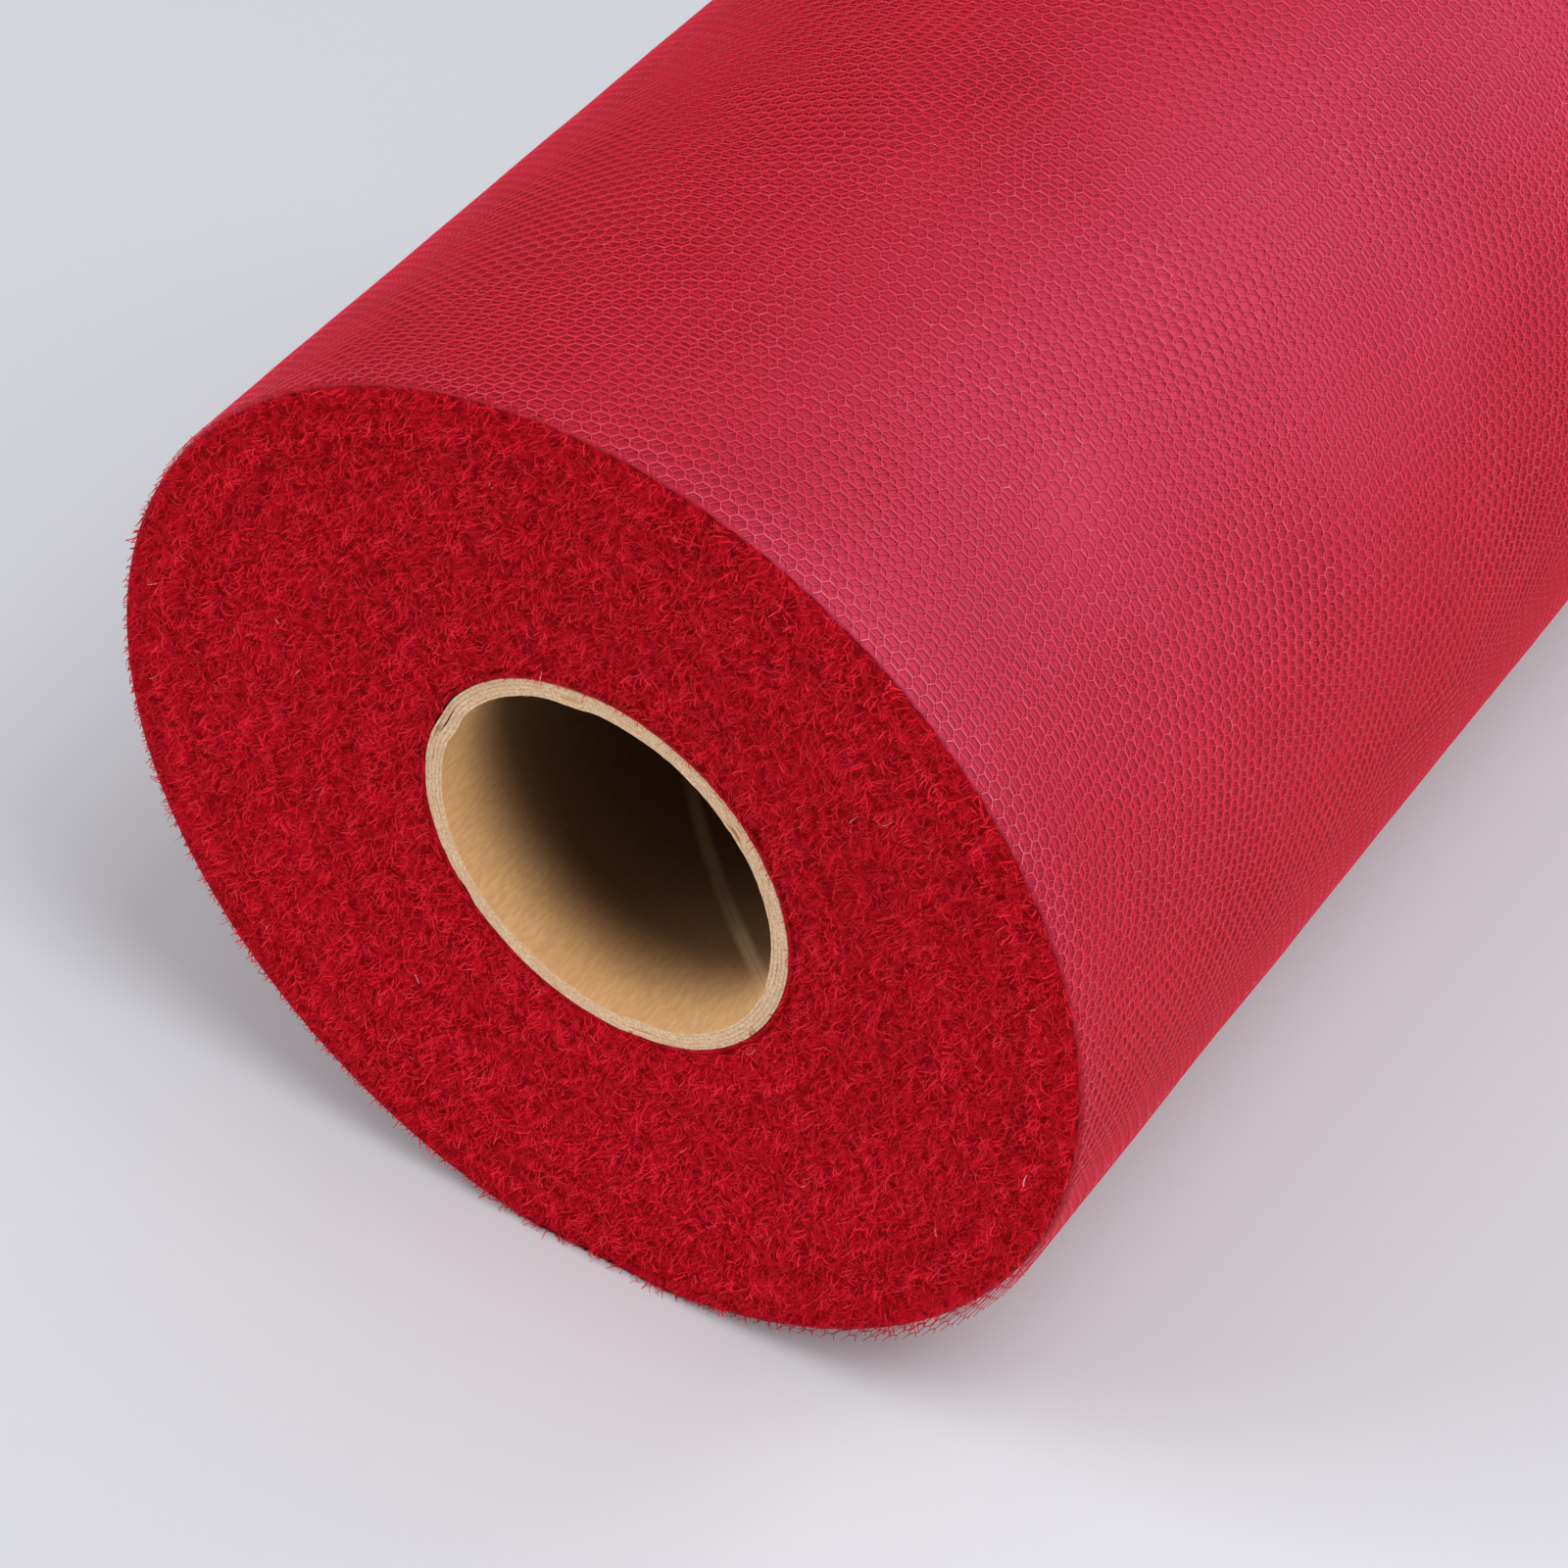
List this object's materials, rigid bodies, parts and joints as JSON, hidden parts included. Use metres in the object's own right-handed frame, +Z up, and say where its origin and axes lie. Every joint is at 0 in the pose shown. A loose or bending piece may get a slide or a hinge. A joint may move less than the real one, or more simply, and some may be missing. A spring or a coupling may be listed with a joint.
{
  "type": "netting roll",
  "caption": "Roll of red tulle netting wound on a spiral paperboard core, with an open bore for a hanging rod and a loose cut end that lifts.",
  "frame": {"origin": "middle of the footprint, on the surface that the roll lies on", "axes": "+Z up; the roll's axis runs along Y, and the dished end, where the rim stands proud of the core, faces -Y; the loose end is on the -X side"},
  "size_m": [0.1, 0.1554, 0.0991],
  "materials": {
    "core_liner": "matt kraft paper",
    "core_board": "matt grey-tan paperboard, pale at the cut",
    "start_tape": "double-sided paper tape",
    "netting": "red hexagonal nylon net, slightly shiny threads",
    "clear_tape": "clear film tape"
  },
  "bodies": {
    "roll": {"core_liner_ply": "core_liner", "core_body_ply_1": "core_board", "core_body_ply_2": "core_board", "core_body_ply_3": "core_board", "core_outer_wrap": "core_board", "start_tape": "start_tape", "net_start_turn": "netting", "net_wound_layers": "netting", "net_outer_turn": "netting"},
    "loose_end": {"net_loose_end": "netting", "closing_tape": "clear_tape"}
  },
  "joints": [
    {"name": "loose_end_lift", "type": "hinge", "parent": "roll", "child": "loose_end", "pos_m": [-0.0483, 0, 0.06204], "axis": [0, 1, 0], "range_deg": [0, 110]}
  ]
}
